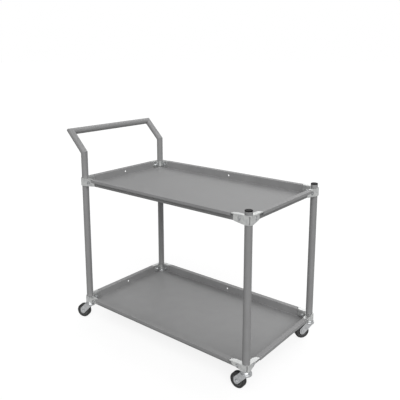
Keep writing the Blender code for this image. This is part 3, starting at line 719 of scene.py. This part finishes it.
def shape_of(mesh):
    """A mesh opened up again as a worked shape."""
    bm = bmesh.new()
    bm.from_mesh(mesh)
    return bm


head_seat = CLAMP_RECESS_SEAT + SEAT_GAP
head_top = head_seat + BOLT_HEAD_HEIGHT
nut_face = -CLAMP_BACK - SEAT_GAP
nut_end = nut_face - BOLT_NUT_HEIGHT
bolt_end = nut_end - BOLT_TAIL
head_shoulder = (BOLT_HEAD_RADIUS - BOLT_HEAD_ROUND, head_top - BOLT_HEAD_ROUND)
head_profile = [(0, head_top)]
head_profile += arc(head_shoulder, BOLT_HEAD_ROUND, math.pi / 2, 0, ROUND_STEPS)
head_profile += [(BOLT_HEAD_RADIUS, head_seat), (BOLT_RADIUS, head_seat)]
head_profile += [(BOLT_RADIUS, bolt_end), (0, bolt_end)]
bolt_turned = mesh_from("plated_clamp_bolt", spun(head_profile, BOLT_HEAD_STEPS))
socket = prism(
    hexagon(BOLT_SOCKET_RADIUS), head_top - BOLT_SOCKET_DEPTH, head_top + BOLT_SOCKET_DEPTH)
bolt_nut = shape_of(nut_block(BOLT_HEX_RADIUS, nut_end, nut_face))
bolt_mesh = worked(worked(bolt_turned, [socket], "DIFFERENCE"), [bolt_nut], "UNION")
first_spot = Matrix.Translation((BOLT_ALONG_WING, 0, -BOLT_DROP))
second_spot = Matrix.Translation((0, BOLT_ALONG_WING, -BOLT_DROP))
first_wing = first_spot @ Matrix.Rotation(math.pi / 2, 4, "X")
second_wing = second_spot @ Matrix.Rotation(-math.pi / 2, 4, "Y")
for level, rim_top in rim_tops.items():
    for corner, sides in CORNERS.items():
        wings = ("side", "end") if sides[0] * sides[1] > 0 else ("end", "side")
        for wing, spot in zip(wings, (first_wing, second_wing)):
            node = "clamp_bolt_%s_%s_%s" % (level, corner, wing)
            fitted("plated_" + node, bolt_mesh, plated_steel, [node], "cart_frame",
                   at_corner(*sides, rim_top) @ spot, FINE_EDGE)

# Casters
# Stem swivel casters: a plated crown and stem fixed in the post, a pressed steel fork that
# swivels under it on a riveted kingpin, and a rubber-tyred wheel on an axle bolt.
WHEEL_RADIUS = 0.0315
TYRE_WIDTH = 0.024
TYRE_SHOULDER = 0.004
TYRE_THICKNESS = 0.0095
TYRE_GROOVE_HALF = 0.0006
TYRE_GROOVE_FLOOR_HALF = 0.0002
TYRE_GROOVE_DEPTH = 0.0004
HUB_BOSS_RADIUS = 0.009
HUB_WEB = 0.008
HUB_RIM = 0.0035
HUB_RIM_INSET = 0.002
HUB_RIBS = 8
HUB_RIB_HALF = 0.0009
HUB_RIB_LAP = 0.001
HUB_RIB_INSET = 0.002
HUB_SIDE_CLEARANCE = 0.0005
AXLE_RADIUS = 0.0040
AXLE_CLEARANCE = 0.0002
AXLE_SIDES = 52
AXLE_HEX_RADIUS = 0.0068
AXLE_HEX_HEIGHT = 0.0040
WHEEL_SIDE_CLEARANCE = 0.0013
FORK_SHEET = 0.0025
FORK_HEAD_RADIUS = 0.0233
FORK_SKIRT_Z = 0.0660
FORK_SHOULDER = 0.0040
FORK_END_RADIUS = 0.012
FORK_FRONT_X = 0.014
FORK_BACK_X = 0.017
FORK_EDGE = 0.0006
FORK_END_STEPS = 20
FORK_DRILL_REACH = 0.03
FORK_DRILL_SIDES = 40
KINGPIN_RADIUS = 0.0050
KINGPIN_CLEARANCE = 0.0004
RIVET_RADIUS = 0.0090
RIVET_HEIGHT = 0.0030
STEM_LENGTH = 0.040
STEM_ROUND = 0.003
CROWN_RADIUS = 0.0205
CROWN_HEIGHT = 0.0066
CROWN_BAND = 0.0018
CROWN_BAND_ROUND = 0.001
CROWN_TAPER = 0.0009
CROWN_TAPER_FOOT = 0.004
SWIVEL_GAP = 0.0005
TURNED_STEPS = 56

crown_top = post_low.z - SEAT_GAP
crown_foot = crown_top - CROWN_HEIGHT
fork_top = crown_foot - SWIVEL_GAP
fork_under = fork_top - FORK_SHEET
fork_inner_y = TYRE_WIDTH / 2 + WHEEL_SIDE_CLEARANCE
fork_outer_y = fork_inner_y + FORK_SHEET

black_rubber = finish(
    "black_rubber", deep=(0.020, 0.020, 0.020), pale=(0.040, 0.040, 0.040),
    gloss=0.62, matt=0.80, clouds=40.0, grains=900.0, depth=0.00012, metallic=0.0)
hub_plastic = finish(
    "grey_hub_plastic", deep=(0.080, 0.080, 0.080), pale=(0.110, 0.110, 0.110),
    gloss=0.45, matt=0.60, clouds=60.0, grains=1200.0, depth=0.00006, metallic=0.0)


def middle_of(node):
    """Middle of a CAD node's box."""
    low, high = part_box(node)
    return (Vector(low) + Vector(high)) / 2


def caster_stem():
    """Stem, crown, kingpin and the domed rivet head under the fork, turned in one."""
    stem_radius = TUBE_RADIUS - TUBE_WALL - SEAT_GAP
    stem_top = crown_top + STEM_LENGTH
    stem_shoulder = (stem_radius - STEM_ROUND, stem_top - STEM_ROUND)
    band = (CROWN_RADIUS - CROWN_BAND_ROUND, crown_foot + CROWN_BAND)
    rivet_top = fork_under - SEAT_GAP
    dome_radius = (RIVET_RADIUS ** 2 + RIVET_HEIGHT ** 2) / (2 * RIVET_HEIGHT)
    dome = (0, rivet_top - RIVET_HEIGHT + dome_radius)
    dome_edge = -math.acos(RIVET_RADIUS / dome_radius)
    profile = [(0, stem_top)]
    profile += arc(stem_shoulder, STEM_ROUND, math.pi / 2, 0, ROUND_STEPS)
    profile += [(stem_radius, crown_top), (COLLAR_RADIUS - SEAT_GAP, crown_top)]
    profile += [(CROWN_RADIUS - CROWN_TAPER, crown_foot + CROWN_TAPER_FOOT)]
    profile += arc(band, CROWN_BAND_ROUND, math.pi / 4, 0, ROUND_STEPS)
    profile += [(CROWN_RADIUS, crown_foot), (KINGPIN_RADIUS, crown_foot)]
    profile += [(KINGPIN_RADIUS, rivet_top)]
    profile += arc(dome, dome_radius, dome_edge, -math.pi / 2, ROUND_STEPS)
    return mesh_from("plated_caster_stem", spun(profile, TURNED_STEPS))


def caster_fork(trail):
    """Pressed head with a rounded shoulder, two legs that trail back to the axle."""
    hole = KINGPIN_RADIUS + KINGPIN_CLEARANCE
    inner = FORK_HEAD_RADIUS - FORK_SHEET
    shoulder = (FORK_HEAD_RADIUS - FORK_SHOULDER, fork_top - FORK_SHOULDER)
    profile = [(hole, fork_top)]
    profile += arc(shoulder, FORK_SHOULDER, math.pi / 2, 0, FOLD_STEPS)
    profile += [(FORK_HEAD_RADIUS, FORK_SKIRT_Z), (inner, FORK_SKIRT_Z)]
    profile += arc(shoulder, FORK_SHOULDER - FORK_SHEET, 0, math.pi / 2, FOLD_STEPS)
    profile += [(hole, fork_under)]
    head = mesh_from("plated_caster_fork", spun(profile, TURNED_STEPS, True))
    root = fork_under + FORK_SHEET / 2
    axle = (-trail, WHEEL_RADIUS)
    front = (FORK_FRONT_X, FORK_SKIRT_Z)
    reach = math.hypot(front[0] - axle[0], front[1] - axle[1])
    lean = math.atan2(front[1] - axle[1], front[0] - axle[0])
    outline = [(FORK_FRONT_X, root), front]
    touch = lean - math.acos(FORK_END_RADIUS / reach)
    outline += arc(axle, FORK_END_RADIUS, touch, -math.pi, FORK_END_STEPS)
    outline += [(axle[0] - FORK_END_RADIUS, axle[1] + FORK_END_RADIUS), (-FORK_BACK_X, root)]
    legs = []
    for side in (-1, 1):
        low, high = sorted((side * fork_inner_y, side * fork_outer_y))
        legs.append(moved(prism(outline, low, high), STOOD_UP))
    drill = rod(AXLE_RADIUS + SEAT_GAP, (-trail, -FORK_DRILL_REACH, WHEEL_RADIUS),
                (-trail, FORK_DRILL_REACH, WHEEL_RADIUS), FORK_DRILL_SIDES)
    return worked(worked(head, legs, "UNION"), [drill], "DIFFERENCE")


def caster_axle():
    """Axle bolt along its own Z, head on one side and nut on the other."""
    face = fork_outer_y + SEAT_GAP
    end = face + AXLE_HEX_HEIGHT
    shank_end = end - AXLE_HEX_HEIGHT / 2
    shank = rod(AXLE_RADIUS, (0, 0, -shank_end), (0, 0, shank_end), AXLE_SIDES)
    ends = []
    for low, high in ((face, end), (-end, -face)):
        ends.append(shape_of(nut_block(AXLE_HEX_RADIUS, low, high)))
    return worked(mesh_from("plated_caster_axle", shank), ends, "UNION")


def wheel_hub():
    """Moulded centre: boss, dished web and rim, with ribs on both sides of the web."""
    bore = AXLE_RADIUS + AXLE_CLEARANCE
    boss_end = fork_inner_y - HUB_SIDE_CLEARANCE
    rim_outer = WHEEL_RADIUS - TYRE_THICKNESS - SEAT_GAP
    rim_inner = rim_outer - HUB_RIM
    rim_end = TYRE_WIDTH / 2 - HUB_RIM_INSET
    half_web = HUB_WEB / 2
    upper = [(bore, boss_end), (HUB_BOSS_RADIUS, boss_end), (HUB_BOSS_RADIUS, half_web),
             (rim_inner, half_web), (rim_inner, rim_end), (rim_outer, rim_end)]
    profile = upper + [(radius, -height) for radius, height in reversed(upper)]
    ribs = []
    for step in range(HUB_RIBS):
        rib = block((HUB_BOSS_RADIUS - HUB_RIB_LAP, -HUB_RIB_HALF, -rim_end + HUB_RIB_INSET),
                    (rim_inner + HUB_RIB_LAP, HUB_RIB_HALF, rim_end - HUB_RIB_INSET))
        ribs.append(moved(rib, Matrix.Rotation(2 * math.pi * step / HUB_RIBS, 4, "Z")))
    return worked(mesh_from("moulded_wheel_hub", spun(profile, TURNED_STEPS, True)), ribs, "UNION")


def wheel_tyre():
    """Solid tyre with round shoulders and a fine moulding groove round its middle."""
    half = TYRE_WIDTH / 2
    shoulder = (WHEEL_RADIUS - TYRE_SHOULDER, half - TYRE_SHOULDER)
    upper = [(WHEEL_RADIUS - TYRE_THICKNESS, half - HUB_RIM_INSET)]
    upper += arc(shoulder, TYRE_SHOULDER, math.pi / 2, 0, FOLD_STEPS * 2)
    upper += [(WHEEL_RADIUS, TYRE_GROOVE_HALF)]
    upper += [(WHEEL_RADIUS - TYRE_GROOVE_DEPTH, TYRE_GROOVE_FLOOR_HALF)]
    profile = upper + [(radius, -height) for radius, height in reversed(upper)]
    return mesh_from("moulded_wheel_tyre", spun(profile, TURNED_STEPS * 2, True))


post_to_axle = middle_of("caster_stem_front_left") - middle_of("caster_axle_front_left")
trail = math.hypot(post_to_axle.x, post_to_axle.y)
stem_mesh = caster_stem()
fork_mesh = caster_fork(trail)
axle_mesh = caster_axle()
hub_mesh = wheel_hub()
tyre_mesh = wheel_tyre()
lying = Matrix.Translation((-trail, 0, WHEEL_RADIUS)) @ Matrix.Rotation(math.pi / 2, 4, "X")
for corner in CORNERS:
    stem_middle = middle_of("caster_stem_" + corner)
    away = stem_middle - middle_of("caster_axle_" + corner)
    centre = Matrix.Translation((stem_middle.x, stem_middle.y, 0))
    turn = Matrix.Rotation(math.atan2(away.y, away.x), 4, "Z")
    swivel = centre @ turn
    turned_fork = fork_mesh.copy()
    turned_fork.transform(turn)
    fitted("plated_caster_stem_" + corner, stem_mesh, plated_steel, ["caster_stem_" + corner],
           "cart_frame", centre)
    fitted("plated_caster_fork_" + corner, turned_fork, plated_steel, ["caster_fork_" + corner],
           "caster_" + corner, centre, FORK_EDGE)
    fitted("plated_caster_axle_" + corner, axle_mesh, plated_steel, ["caster_axle_" + corner],
           "caster_" + corner, swivel @ lying, FINE_EDGE)
    fitted("moulded_hub_" + corner, hub_mesh, hub_plastic, ["wheel_hub_" + corner],
           "wheel_" + corner, swivel @ lying)
    fitted("moulded_tyre_" + corner, tyre_mesh, black_rubber, ["wheel_tyre_" + corner],
           "wheel_" + corner, swivel @ lying)
